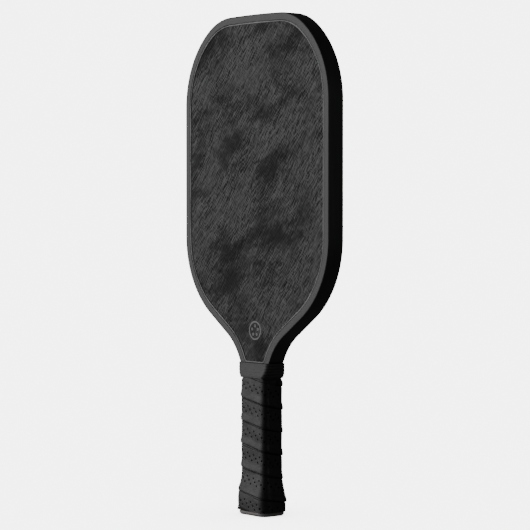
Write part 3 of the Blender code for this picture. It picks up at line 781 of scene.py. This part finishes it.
def strip_point(distance, perimeter, w, outer, sunk=0.0):
    """A point of the strip: outer is 0 on its inner side and 1 on its outer side, less sunk."""
    turn = distance / perimeter - WRAP_TURNS_BELOW
    sway = sum(height * math.sin(distance / length) for height, length in WRAP_SWAYS)
    z = WRAP_SEAM_Z + WRAP_PITCH * turn + w + sway
    lifted = turn >= 1 - WRAP_TURNS_BELOW
    swell = WRAP_SWELL * math.sin(distance / WRAP_SWELL_ALONG + w / WRAP_SWELL_ACROSS)
    x, y, angle = rim_place(distance)
    fill = WRAP_SIDE_FILL * math.cos(2 * angle)
    base = WRAP_GAP + flare(max(z, CAP_BOTTOM))
    limit = reach_limit(z)
    far = min(base + wrap_outside(w, lifted) + swell + fill, limit)
    inside = max(wrap_inside(w, lifted) + min(fill, 0.0), 0.0)
    near = min(base + inside, limit - WRAP_EDGE_THICKNESS)
    reach = HANDLE_CORNER + between(near, far, outer) - sunk
    return x + reach * math.cos(angle), y + reach * math.sin(angle), z


def strip_rows():
    """(w, outer) of each row round the strip's section, and the first row of the band of holes."""
    band_start = HOLE_MIDDLE_W - HOLE_ROWS * HOLE_ROW_PITCH / 2
    band_end = HOLE_MIDDLE_W + HOLE_ROWS * HOLE_ROW_PITCH / 2
    angles = spaced(0, math.pi / 2, WRAP_EDGE_STEPS)
    edge = [WRAP_EDGE_ROUND * (1 - math.cos(angle)) for angle in angles]
    below = [0.0] + edge + spaced(WRAP_EDGE_ROUND, band_start, WRAP_STEPS_BELOW)
    band = spaced(band_start, band_end, HOLE_ROWS * CELL_STEPS)
    above = spaced(band_end, WRAP_WIDTH, WRAP_STEPS_ABOVE)
    outside = [(w, 1.0) for w in below + band + above]
    inside = [(w, 0.0) for w in [WRAP_WIDTH] + spaced(WRAP_WIDTH, 0.0, WRAP_STEPS_INSIDE)]
    return outside + inside, len(below) - 1


class StripMesh:
    """The strip's surface while it is put together, as stops along it and rows round its section.

    A square cell of CELL_STEPS stops by CELL_STEPS rows is left open for each hole, then filled
    with a pit.
    """

    def __init__(self):
        corner, sides = rim_lengths()
        self.perimeter = 4 * corner + sum(sides)
        self.rows, self.band_row = strip_rows()
        column = HOLE_PERIOD / HOLE_ROWS
        self.columns = int(self.perimeter * (WRAP_TURNS_BELOW + WRAP_TURNS_ABOVE) / column)
        self.stops = self.columns * CELL_STEPS
        self.step = column / CELL_STEPS
        self.vertices = []
        self.faces = []
        self.known = {}

    def corner(self, stop, row):
        """The number of the vertex at a stop and a row, made when it is first asked for."""
        row %= len(self.rows)
        if (stop, row) not in self.known:
            w, outer = self.rows[row]
            self.known[stop, row] = len(self.vertices)
            self.vertices.append(strip_point(stop * self.step, self.perimeter, w, outer))
        return self.known[stop, row]

    def in_hole(self, stop, row):
        cell_row = (row - self.band_row) // CELL_STEPS
        return 0 <= cell_row < HOLE_ROWS and (stop // CELL_STEPS - cell_row) % HOLE_ROWS == 0

    def add_surface(self):
        for stop in range(self.stops):
            for row in range(len(self.rows)):
                if not self.in_hole(stop, row):
                    places = ((stop, row), (stop + 1, row), (stop + 1, row + 1), (stop, row + 1))
                    self.faces.append([self.corner(*place) for place in places])

    def add_holes(self):
        for column in range(self.columns):
            for cell_row in range(HOLE_ROWS):
                stop = column * CELL_STEPS
                row = self.band_row + cell_row * CELL_STEPS
                if self.in_hole(stop, row):
                    self.add_hole(stop, row)

    def add_hole(self, stop, row):
        """Fill the cell that starts there with a round pit that has a softened mouth."""
        levels = (
            (HOLE_RADIUS + HOLE_ROUND, 0.0),
            (HOLE_RADIUS + 0.3 * HOLE_ROUND, 0.3 * HOLE_ROUND),
            (HOLE_RADIUS, HOLE_ROUND),
            (HOLE_TAPER * HOLE_RADIUS, HOLE_DEPTH),
        )
        middle_distance = (stop + CELL_STEPS / 2) * self.step
        middle_w = self.rows[row][0] + HOLE_ROW_PITCH / 2
        outer_ring = [self.corner(stop + a, row + b) for a, b in cell_rim()]
        count = len(outer_ring)
        for radius, sunk in levels:
            ring = []
            for index in range(count):
                angle = 2 * math.pi * index / count - 3 * math.pi / 4
                distance = middle_distance + radius * math.cos(angle)
                w = middle_w + radius * math.sin(angle)
                ring.append(len(self.vertices))
                self.vertices.append(strip_point(distance, self.perimeter, w, 1.0, sunk))
            for index in range(count):
                following = (index + 1) % count
                rim = outer_ring[index], outer_ring[following]
                self.faces.append((*rim, ring[following], ring[index]))
            outer_ring = ring
        self.faces.append(outer_ring)

    def add_ends(self):
        for stop in (0, self.stops):
            self.faces.append([self.corner(stop, row) for row in range(len(self.rows))])


def cell_rim():
    """Steps (along, across) from a cell's first corner to each place round its edge, in order."""
    rim = []
    for place in range(CELL_STEPS):
        rim.append((place, 0))
    for place in range(CELL_STEPS):
        rim.append((CELL_STEPS, place))
    for place in range(CELL_STEPS):
        rim.append((CELL_STEPS - place, CELL_STEPS))
    for place in range(CELL_STEPS):
        rim.append((0, CELL_STEPS - place))
    return rim


def build_strip(material):
    """The cushion strip as one closed body, with a real pit for each punched hole."""
    strip = StripMesh()
    strip.add_surface()
    strip.add_holes()
    strip.add_ends()
    mesh = mesh_from(strip.vertices, strip.faces)
    trim(mesh, WRAP_BOTTOM, -1)
    trim(mesh, WRAP_TOP, 1)
    mesh.shade_smooth()
    mesh.set_sharp_from_angle(angle=SMOOTH_ANGLE)
    add_piece("wound_grip_strip", mesh, material, ["grip_wrap"])


def trim(mesh, height, direction):
    """Cut off what lies beyond the height, upwards or downwards, and close the cut."""
    shape = bmesh.new()
    shape.from_mesh(mesh)
    everything = list(shape.verts) + list(shape.edges) + list(shape.faces)
    cut = bmesh.ops.bisect_plane(
        shape,
        geom=everything,
        plane_co=(0, 0, height),
        plane_no=(0, 0, direction),
        clear_outer=True,
    )
    edges = [item for item in cut["geom_cut"] if isinstance(item, bmesh.types.BMEdge)]
    bmesh.ops.triangle_fill(shape, use_beauty=True, use_dissolve=False, edges=edges)
    bmesh.ops.recalc_face_normals(shape, faces=shape.faces)
    shape.to_mesh(mesh)
    shape.free()


# ---------------------------------------------------------------- collar and end plate

def cubic(before, start, end, after, t):
    """A smooth curve at t from start to end whose slopes follow the values before and after."""
    start_slope = (end - before) / 2
    end_slope = (after - start) / 2
    rise = 3 * (end - start) - 2 * start_slope - end_slope
    bend = 2 * (start - end) + start_slope + end_slope
    return start + start_slope * t + rise * t ** 2 + bend * t ** 3


def collar_outside(z):
    """Half width, half depth and corner radius of the collar at height z, on a smooth curve."""
    for index in range(len(COLLAR_SECTIONS) - 1):
        lower = COLLAR_SECTIONS[index]
        upper = COLLAR_SECTIONS[index + 1]
        if z <= upper[0]:
            before = COLLAR_SECTIONS[max(index - 1, 0)]
            after = COLLAR_SECTIONS[min(index + 2, len(COLLAR_SECTIONS) - 1)]
            t = (z - lower[0]) / (upper[0] - lower[0])
            sizes = zip(before[1:], lower[1:], upper[1:], after[1:])
            return [cubic(*size, t) for size in sizes]
    return list(COLLAR_SECTIONS[-1][1:])


def groove_depth(z, x_share):
    """Depth of the collar's grooves at height z.

    It is full on the narrow sides, where x_share is 1, and faint in front and behind, where it is 0.
    """
    bottom = COLLAR_SECTIONS[0][0]
    top = COLLAR_SECTIONS[-1][0]
    from_middle = z - (bottom + top) / 2
    reach = COLLAR_GROOVE_PITCH * COLLAR_GROOVE_COUNT / 2
    if abs(from_middle) > reach:
        return 0.0
    wave = (1 + math.cos(2 * math.pi * (from_middle / COLLAR_GROOVE_PITCH - 0.5))) / 2
    return COLLAR_GROOVE_DEPTH * wave ** 2 * between(COLLAR_GROOVE_FAINTEST, 1.0, x_share)


def build_collar(material):
    """A rubber band with grooved sides, rounded edges and an inward rim at its top."""
    bottom = COLLAR_SECTIONS[0][0]
    top = COLLAR_SECTIONS[-1][0]
    outside = []
    for level in range(COLLAR_LEVELS + 1):
        z = between(bottom, top, level / COLLAR_LEVELS)
        half_x, half_y, corner = collar_outside(z)
        to_end = min(z - bottom, top - z, COLLAR_ROUND)
        tuck = COLLAR_ROUND - math.sqrt(COLLAR_ROUND ** 2 - (COLLAR_ROUND - to_end) ** 2)
        ring = []
        for quarter, (sign_x, sign_y) in enumerate(CORNER_SIGNS):
            for step in range(CORNER_STEPS + 1):
                angle = math.pi / 2 * (quarter + step / CORNER_STEPS)
                reach = corner - tuck - groove_depth(z, math.cos(angle) ** 2)
                x = sign_x * (half_x - corner) + reach * math.cos(angle)
                y = sign_y * (half_y - corner) + reach * math.sin(angle)
                ring.append((x, y, z))
        outside.append(ring)
    rim_y = GUARD_THICKNESS / 2 + FIT_GAP
    rim_sizes = (COLLAR_RIM_HALF_X, rim_y, COLLAR_RIM_CORNER)
    inside = [section_ring(*rim_sizes, top), section_ring(*rim_sizes, top - COLLAR_RIM_HEIGHT)]
    for z, *sizes in reversed(COLLAR_SECTIONS[:-1]):
        inside.append(section_ring(*[size - COLLAR_WALL for size in sizes], z))
    mesh = lofted_mesh(outside + inside, joined_ends=True)
    add_piece("ribbed_grip_collar", mesh, material, ["grip_collar"])


def build_end_plate(material):
    """The butt's plate: a straight wall over a chamfer, with softened edges and a spigot on top."""
    profile = [
        (PLATE_CHAMFER + PLATE_ROUND, 0.0),
        (PLATE_CHAMFER, 0.15 * PLATE_ROUND),
        (0.3 * PLATE_ROUND, PLATE_CHAMFER - 0.4 * PLATE_ROUND),
        (0.0, PLATE_CHAMFER + 0.4 * PLATE_ROUND),
        (0.0, PLATE_HEIGHT - PLATE_ROUND),
        (0.3 * PLATE_ROUND, PLATE_HEIGHT - 0.3 * PLATE_ROUND),
        (PLATE_ROUND, PLATE_HEIGHT),
        (SPIGOT_INSET, PLATE_HEIGHT),
        (SPIGOT_INSET, PLATE_HEIGHT + SPIGOT_HEIGHT - FIT_GAP),
    ]
    rings = []
    for inset, z in profile:
        sizes = [size - inset for size in (PLATE_HALF_X, PLATE_HALF_Y, PLATE_CORNER)]
        rings.append(section_ring(*sizes, z))
    mesh = lofted_mesh(rings, smooth_angle=PLATE_SMOOTH_ANGLE)
    add_piece("moulded_end_plate", mesh, material, ["butt_end_plate"])


# ---------------------------------------------------------------- printed mark

def build_mark(side, sign, material):
    """A ring with dots in it, like a ball with holes, as a thin print on the face."""
    near = sign * (FACE_HALF + MARK_GAP)
    far = sign * (FACE_HALF + MARK_GAP + MARK_HEIGHT)
    vertices = []
    faces = []
    add_disc((0.0, MARK_Z), MARK_RADIUS, MARK_RADIUS - MARK_LINE, near, far, vertices, faces)
    for dot in range(MARK_DOTS):
        angle = math.pi / 2 + 2 * math.pi * dot / MARK_DOTS
        x = MARK_DOT_DISTANCE * math.cos(angle)
        z = MARK_Z + MARK_DOT_DISTANCE * math.sin(angle)
        add_disc((x, z), MARK_DOT_RADIUS, MARK_DOT_HOLE, near, far, vertices, faces)
    add_piece(f"{side}_printed_ball", mesh_from(vertices, faces), material)


def add_disc(centre, outer, inner, near, far, vertices, faces):
    """Add a flat washer that stands in the XZ plane."""
    start = len(vertices)
    for radius, y in ((outer, near), (outer, far), (inner, far), (inner, near)):
        for x, z in arc(centre, radius, 0, 360 - 360 / MARK_STEPS, MARK_STEPS - 1):
            vertices.append((x, y, z))
    for band in range(4):
        for index in range(MARK_STEPS):
            following = (index + 1) % MARK_STEPS
            here = start + band * MARK_STEPS
            there = start + (band + 1) % 4 * MARK_STEPS
            faces.append((here + index, here + following, there + following, there + index))


# ---------------------------------------------------------------- stage, light and camera

BACKDROP = (1.0, 1.0, 1.0)
BACKDROP_STRENGTH = 5.6
AMBIENT_STRENGTH = 0.05

# The floor, in metres, and the soft shade on it close to the butt
FLOOR_REACH = 30.0
CONTACT_SHADE = 0.45
CONTACT_SHADE_REACH = 90 * MM

# Soft boxes: azimuth from the front towards +X and elevation in degrees, distance from the paddle's
# middle, width and height in metres, and power in watts. The rear ones don't reach the front face.
LIGHTS = {
    "key": (-36, 9, 2.0, 2.2, 1.7, 31.0),
    "rear_key": (240, -5, 2.2, 1.8, 1.2, 60.0),
    "rear_fill": (215, 2, 2.2, 1.2, 0.8, 10.0),
    "right_fill": (100, 10, 2.6, 1.6, 1.6, 3.0),
}


def build_world():
    """A pale backdrop for the camera and a dim surround for everything else."""
    world = bpy.data.worlds.new("studio")
    bpy.context.scene.world = world
    world.use_nodes = True
    tree = world.node_tree
    tree.nodes.clear()
    ray = tree.nodes.new("ShaderNodeLightPath")
    seen = tree.nodes.new("ShaderNodeBackground")
    seen.inputs["Color"].default_value = (*BACKDROP, 1.0)
    seen.inputs["Strength"].default_value = BACKDROP_STRENGTH
    dim = tree.nodes.new("ShaderNodeBackground")
    dim.inputs["Color"].default_value = (*BACKDROP, 1.0)
    dim.inputs["Strength"].default_value = AMBIENT_STRENGTH
    mix = tree.nodes.new("ShaderNodeMixShader")
    output = tree.nodes.new("ShaderNodeOutputWorld")
    tree.links.new(ray.outputs["Is Camera Ray"], mix.inputs["Fac"])
    tree.links.new(dim.outputs["Background"], mix.inputs[1])
    tree.links.new(seen.outputs["Background"], mix.inputs[2])
    tree.links.new(mix.outputs["Shader"], output.inputs["Surface"])


def build_floor():
    """A plain pale floor, a little darker only where the butt stands on it."""
    mesh = bpy.data.meshes.new("floor")
    corners = [(x * FLOOR_REACH, y * FLOOR_REACH, 0) for x, y in ((-1, -1), (1, -1), (1, 1), (-1, 1))]
    mesh.from_pydata(corners, [], [(0, 1, 2, 3)])
    floor = bpy.data.objects.new("floor", mesh)
    bpy.context.scene.collection.objects.link(floor)
    material = bpy.data.materials.new("floor")
    material.use_nodes = True
    tree = material.node_tree
    tree.nodes.clear()
    shade = tree.nodes.new("ShaderNodeAmbientOcclusion")
    shade.inputs["Distance"].default_value = CONTACT_SHADE_REACH
    soften = tree.nodes.new("ShaderNodeMapRange")
    soften.inputs["To Min"].default_value = CONTACT_SHADE
    glow = tree.nodes.new("ShaderNodeEmission")
    strength = tree.nodes.new("ShaderNodeMath")
    strength.operation = "MULTIPLY"
    strength.inputs[1].default_value = BACKDROP_STRENGTH
    glow.inputs["Color"].default_value = (*BACKDROP, 1.0)
    output = tree.nodes.new("ShaderNodeOutputMaterial")
    tree.links.new(shade.outputs["AO"], soften.inputs["Value"])
    tree.links.new(soften.outputs["Result"], strength.inputs[0])
    tree.links.new(strength.outputs["Value"], glow.inputs["Strength"])
    tree.links.new(glow.outputs["Emission"], output.inputs["Surface"])
    mesh.materials.append(material)
    floor.visible_diffuse = False
    floor.visible_glossy = False
    floor.visible_shadow = False


def add_light(name, azimuth, elevation, distance, width, height, power):
    """A soft box that looks at the middle of the paddle, with its angles in degrees."""
    turn = math.radians(azimuth)
    rise = math.radians(elevation)
    flat = distance * math.cos(rise)
    x = flat * math.sin(turn)
    y = -flat * math.cos(turn)
    z = LENGTH / 2 + distance * math.sin(rise)
    middle = Vector((0, 0, LENGTH / 2))
    light = bpy.data.lights.new(name, "AREA")
    light.shape = "RECTANGLE"
    light.size = width
    light.size_y = height
    light.energy = power
    lamp = bpy.data.objects.new(name, light)
    lamp.location = (x, y, z)
    lamp.rotation_euler = (middle - lamp.location).to_track_quat("-Z", "Y").to_euler()
    lamp.visible_camera = False
    bpy.context.scene.collection.objects.link(lamp)


def build_lights():
    for name, settings in LIGHTS.items():
        add_light(name, *settings)


def build_camera():
    """The camera, at CAMERA_AZIMUTH from the front and with its aim moved a little to its right."""
    data = bpy.data.cameras.new("camera")
    data.lens = CAMERA_LENS
    data.sensor_width = CAMERA_SENSOR
    data.clip_end = CAMERA_FAR_CLIP
    camera = bpy.data.objects.new("camera", data)
    side = Vector((math.cos(CAMERA_AZIMUTH), math.sin(CAMERA_AZIMUTH), 0))
    back = Vector((math.sin(CAMERA_AZIMUTH), -math.cos(CAMERA_AZIMUTH), 0))
    camera.location = back * CAMERA_DISTANCE + Vector((0, 0, CAMERA_HEIGHT))
    aim = side * CAMERA_SIDE_AIM + Vector((0, 0, CAMERA_AIM_HEIGHT))
    camera.rotation_euler = (aim - camera.location).to_track_quat("-Z", "Y").to_euler()
    bpy.context.scene.collection.objects.link(camera)
    bpy.context.scene.camera = camera


# ---------------------------------------------------------------- everything together

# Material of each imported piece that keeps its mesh
NODE_MATERIALS = {
    "honeycomb_core": "core",
    "foam_edge_rim": "foam",
    "front_core_scrim": "scrim",
    "rear_core_scrim": "scrim",
    "front_glass_ply": "glass_ply",
    "rear_glass_ply": "glass_ply",
    "front_carbon_face": "carbon",
    "rear_carbon_face": "carbon",
    "edge_bond_strip": "bond",
    "front_handle_pallet": "pallet",
    "rear_handle_pallet": "pallet",
    "butt_cap": "cap",
    "front_butt_staple": "staple",
    "rear_butt_staple": "staple",
    "finishing_tape": "tape",
}


def finish_nodes(nodes, materials):
    """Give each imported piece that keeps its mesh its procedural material."""
    for name, kind in NODE_MATERIALS.items():
        for slot in nodes[name].material_slots:
            slot.material = materials[kind]


def build_paddle(nodes):
    """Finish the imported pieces, and build the ones that are finer here."""
    materials = make_materials()
    finish_nodes(nodes, materials)
    build_guard(materials["guard"])
    for side, sign in SIDES.items():
        build_bead(side, sign, materials["bead"])
        build_mark(side, sign, materials["mark"])
    build_strip(materials["grip"])
    build_collar(materials["collar"])
    build_end_plate(materials["plate"])


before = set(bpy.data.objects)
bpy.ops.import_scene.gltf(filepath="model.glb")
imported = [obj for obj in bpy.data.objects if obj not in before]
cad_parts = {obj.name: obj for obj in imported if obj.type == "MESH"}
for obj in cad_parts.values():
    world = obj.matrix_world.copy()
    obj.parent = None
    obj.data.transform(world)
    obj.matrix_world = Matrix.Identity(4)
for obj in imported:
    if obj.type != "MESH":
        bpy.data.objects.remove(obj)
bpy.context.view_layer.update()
build_camera()
build_paddle(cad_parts)
build_world()
build_floor()
build_lights()
